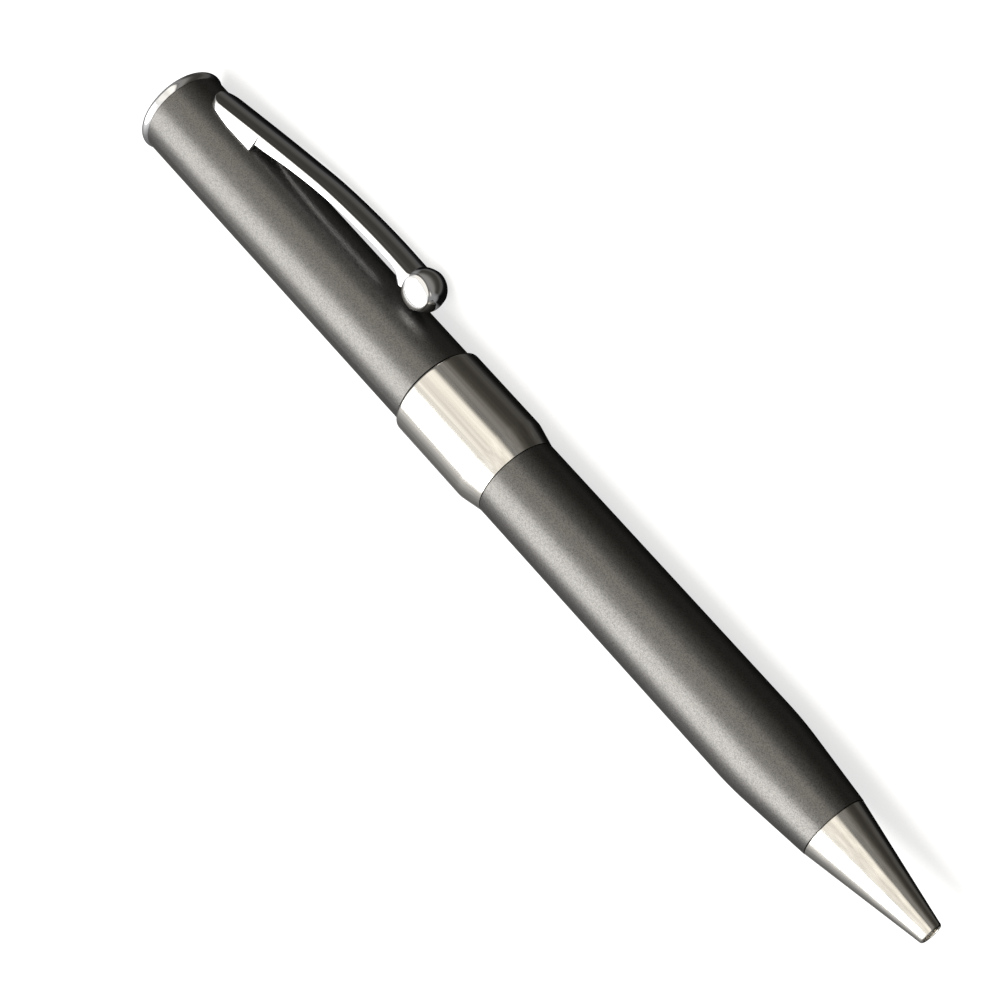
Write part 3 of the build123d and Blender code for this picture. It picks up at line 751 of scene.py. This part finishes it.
# %% Crown
bead = bulge((139.65, 5.72), (139.05, 6.08), (138.45, 5.72))
dome_top = bulge((140.0, 0.0), (139.912, 2.86), (139.65, 5.72))
crown_corners = dome_top[:-1] + bead + [
    (138.45, 5.2, 0),
    (134.6, 5.2, 0.1),
    (134.6, 4.4, 0.1),
    (138.6, 4.4, 0),
    (138.6, 2.6, 0),
    (134.6, 2.6, 0),
    (134.6, 1.5, 0),
    (137.4, 1.5, 0),
    (137.4, 0.0, 0),
]
crown = turned("crown_turning", soft_outline(crown_corners), "chrome", closed=False)
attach(crown, "upper")
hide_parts("crown_cap")

# %% [markdown]
# ### The clip's ball
#
# The ball is turned round a line across the clip. It is not a full ball: each side is a
# flatter dome with a clear ridge where it meets the rim, and the ridge is slightly worn.

# %% Clip ball
ridge_half, ridge_r, ball_r, side_rise = 1.6, 2.2366, 2.75, 0.7
ridge_soft = 0.07
rim_steps, dome_steps = 24, 16
rim = bulge((-ridge_half, ridge_r), (0.0, ball_r), (ridge_half, ridge_r), rim_steps)
near_dome = []
for number in range(1, dome_steps + 1):
    lean = number / dome_steps * pi / 2
    near_dome.append((ridge_half + side_rise * sin(lean), ridge_r * cos(lean), 0))
far_dome = [(-along, radius, 0) for along, radius, softness in reversed(near_dome)]
rim[0] = (-ridge_half, ridge_r, ridge_soft)
rim[-1] = (ridge_half, ridge_r, ridge_soft)
ball_outline = soft_outline(far_dome + rim + near_dome)
ball = turned(
    "ball_turning",
    ball_outline,
    "chrome",
    closed=False,
    foot=ball_middle,
    spindle=(clip_across, clip_out, Vector((1, 0, 0))),
    round_steps=96,
)
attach(ball, "clip")
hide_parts("clip_ball")

# %% [markdown]
# ### The clip's arm
#
# The arm is a pressed strip of spring metal with a domed top, soft shoulders and a channel
# under it. Its head is round and its foot sits on the barrel. From there it rises in an
# arch, runs nearly level and comes down round the ball. It is built the way a boat is, from
# ribs: a cross section at each station, then a skin from rib to rib.
# Three tables hold its shape, and a smooth curve through each table gives the values between.

# %% Tables of the arm's shape
arm_widths = [(135.1, 2.05), (130.0, 2.05), (124.2, 2.04), (119.2, 2.03), (114.0, 2.02), (97.0, 2.00)]
arm_tops = [
    (135.1, 6.12),
    (130.0, 6.97),
    (124.2, 7.93),
    (119.2, 8.70),
    (114.0, 9.44),
    (108.0, 9.90),
    (102.5, 10.05),
    (97.0, 9.95),
]
arm_unders = [
    (125.6, 6.22),
    (124.2, 6.50),
    (119.3, 7.62),
    (113.8, 8.52),
    (108.0, 9.06),
    (102.4, 9.28),
    (99.6, 9.12),
    (98.7, 8.42),
    (98.1, 7.95),
    (97.0, 7.90),
]


def along_arm(table, station):
    """Value at a station on a smooth curve through a table, whose stations fall."""
    last = len(table) - 2
    slot_number = 0
    while slot_number < last and station < table[slot_number + 1][0]:
        slot_number += 1
    (s0, v0), (s1, v1) = table[slot_number], table[slot_number + 1]
    slope = (v1 - v0) / (s1 - s0)
    before, after = slope, slope
    if slot_number > 0:
        before = (v1 - table[slot_number - 1][1]) / (s1 - table[slot_number - 1][0])
    if slot_number < last:
        after = (table[slot_number + 2][1] - v0) / (table[slot_number + 2][0] - s0)
    share = min(1.0, max(0.0, (station - s0) / (s1 - s0)))
    span = s1 - s0
    rise = (2 * share**3 - 3 * share**2 + 1) * v0 + (3 * share**2 - 2 * share**3) * v1
    lean = (share**3 - 2 * share**2 + share) * before + (share**3 - share**2) * after
    return rise + lean * span


# %% One rib of the arm
arm_dome = 0.42
shoulder_soft = 0.2
skirt = 0.5            # the foot's sides spread this far where they meet the barrel
corner_soft = 0.1
seat_r = 5.91          # the foot follows this radius, just clear of the barrel
channel_half = 0.65
channel_depth = 0.4
channel_end = 102.4    # no channel below this station, where the arm thickens for the ball
foot_station = 125.6
head_end, head_round = 135.05, 2.05
skirt_run = 5          # the skirt fades out over this length towards the head's end
top_steps, shoulder_steps, corner_steps, under_steps = 12, 5, 3, 18


def rib(station, half_width):
    """Closed loop of (across, out) points for one cross section."""
    full = along_arm(arm_widths, station)
    top = along_arm(arm_tops, station)
    seated = station >= foot_station

    def top_at(across):
        return top + arm_dome * (1 - (across / full) ** 2)

    def under_at(across):
        if seated:
            return (seat_r**2 - across**2) ** 0.5
        deep = max(0.0, 1 - (abs(across) / channel_half) ** 4) if station > channel_end else 0.0
        return along_arm(arm_unders, station) + channel_depth * deep

    shoulder = min(shoulder_soft, half_width * 0.6)
    corner = min(corner_soft, half_width * 0.3)
    inner = half_width - shoulder
    loop = []
    for number in range(top_steps + 1):
        across = -inner + 2 * inner * number / top_steps
        loop.append((across, top_at(across)))
    for number in range(1, shoulder_steps + 1):
        lean = number / shoulder_steps * pi / 2
        loop.append((inner + shoulder * sin(lean), top_at(inner) - shoulder * (1 - cos(lean))))
    spread = half_width + (skirt * min(1.0, (head_end - station) / skirt_run) if seated else 0)
    outer_under = under_at(spread - corner)
    for number in range(corner_steps + 1):
        lean = number / corner_steps * pi / 2
        across = spread - corner * (1 - cos(lean))
        loop.append((across, outer_under + corner * (1 - sin(lean))))
    for number in range(1, under_steps):
        across = (spread - corner) * (1 - 2 * number / under_steps)
        loop.append((across, under_at(across)))
    side_start = top_steps + 1
    side_end = side_start + shoulder_steps + corner_steps + 1
    mirrored = [(-across, out) for across, out in loop[side_start:side_end]]
    loop += reversed(mirrored)
    return loop


rib_size = len(rib(120.0, 1.9))
print("one rib has", rib_size, "points")

# %% Skin the ribs
arm_end, corner_round = 97.3, 0.8
rib_gap, close_gap = 0.4, 0.15         # along the arm, and closer where it turns round the ball
close_from = 99.7
head_ribs, end_ribs = 12, 6
head_turn, end_turn = radians(82), radians(80)
foot_gap, foot_step = 0.3, 0.12        # the foot's underside ends between two close ribs
ribs = []
for number in range(head_ribs):
    lean = head_turn * (1 - number / head_ribs)
    ribs.append((head_end - head_round * (1 - sin(lean)), head_round * cos(lean)))
station = head_end - head_round
while station > foot_station + foot_gap:
    ribs.append((station, along_arm(arm_widths, station)))
    station -= rib_gap
ribs.append((foot_station, along_arm(arm_widths, foot_station)))
ribs.append((foot_station - foot_step, along_arm(arm_widths, foot_station)))
station = foot_station - rib_gap
while station > close_from:
    ribs.append((station, along_arm(arm_widths, station)))
    station -= rib_gap
while station > arm_end + corner_round:
    ribs.append((station, along_arm(arm_widths, station)))
    station -= close_gap
for number in range(end_ribs + 1):
    lean = number / end_ribs * end_turn
    narrowed = along_arm(arm_widths, arm_end) - corner_round * (1 - cos(lean))
    ribs.append((arm_end + corner_round * (1 - sin(lean)), narrowed))

arm_points, arm_faces = [], []
for station, half_width in ribs:
    arm_points += [place(station, out, across) for across, out in rib(station, half_width)]
for number in range(len(ribs) - 1):
    here = number * rib_size
    for index in range(rib_size):
        following = (index + 1) % rib_size
        arm_faces.append(
            (here + index, here + following, here + rib_size + following, here + rib_size + index)
        )
arm_faces.append(tuple(range(rib_size)))
arm_faces.append(tuple(range(len(arm_points) - rib_size, len(arm_points))))
arm = finished_mesh("arm_pressing", arm_points, arm_faces, "chrome", crease=38)
print("arm:", len(ribs), "ribs,", len(arm.data.vertices), "points")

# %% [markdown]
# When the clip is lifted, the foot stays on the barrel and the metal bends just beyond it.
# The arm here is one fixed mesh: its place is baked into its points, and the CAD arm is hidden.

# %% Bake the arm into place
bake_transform(arm)
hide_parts("clip_arm")

# %% [markdown]
# ### The return spring
#
# The spring in the nose pushes the refill back. When the pen is twisted, the refill's step
# comes forward five millimetres and the coils close up, so the piece has to shorten with the
# refill or the two would run into each other. The wire is swept along its coil here; the coil
# is built at its full length and rides with the lower barrel.

# %% Return spring
seat_station, step_station, refill_travel = 8.0, 19.5, 5.0
wire_r, coil_r, coil_turns = 0.17, 1.9, 9
coil_steps, wire_steps = 36, 10
coil_gap = 0.02
coil_start = seat_station + wire_r + coil_gap
coil_rise = (step_station - seat_station - 2 * (wire_r + coil_gap)) / coil_turns
spring_points, spring_faces = [], []
for number in range(coil_turns * coil_steps + 1):
    turn = 2 * pi * number / coil_steps
    outward = Vector((0, cos(turn), sin(turn)))
    middle = tip + Vector(((coil_start + coil_rise * number / coil_steps) * MM, 0, 0))
    for wire_step in range(wire_steps):
        lean = 2 * pi * wire_step / wire_steps
        reach = outward * (coil_r + wire_r * cos(lean)) + Vector((wire_r * sin(lean), 0, 0))
        spring_points.append(middle + reach * MM)
for number in range(coil_turns * coil_steps):
    here = number * wire_steps
    for wire_step in range(wire_steps):
        following = (wire_step + 1) % wire_steps
        spring_faces.append(
            (here + wire_step, here + following, here + wire_steps + following, here + wire_steps + wire_step)
        )
spring_faces.append(tuple(range(wire_steps)))
spring_faces.append(tuple(range(len(spring_points) - wire_steps, len(spring_points))))
spring = finished_mesh("coil_spring", spring_points, spring_faces, "steel", crease=50)
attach(spring, "lower")
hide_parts("return_spring")
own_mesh(spring)
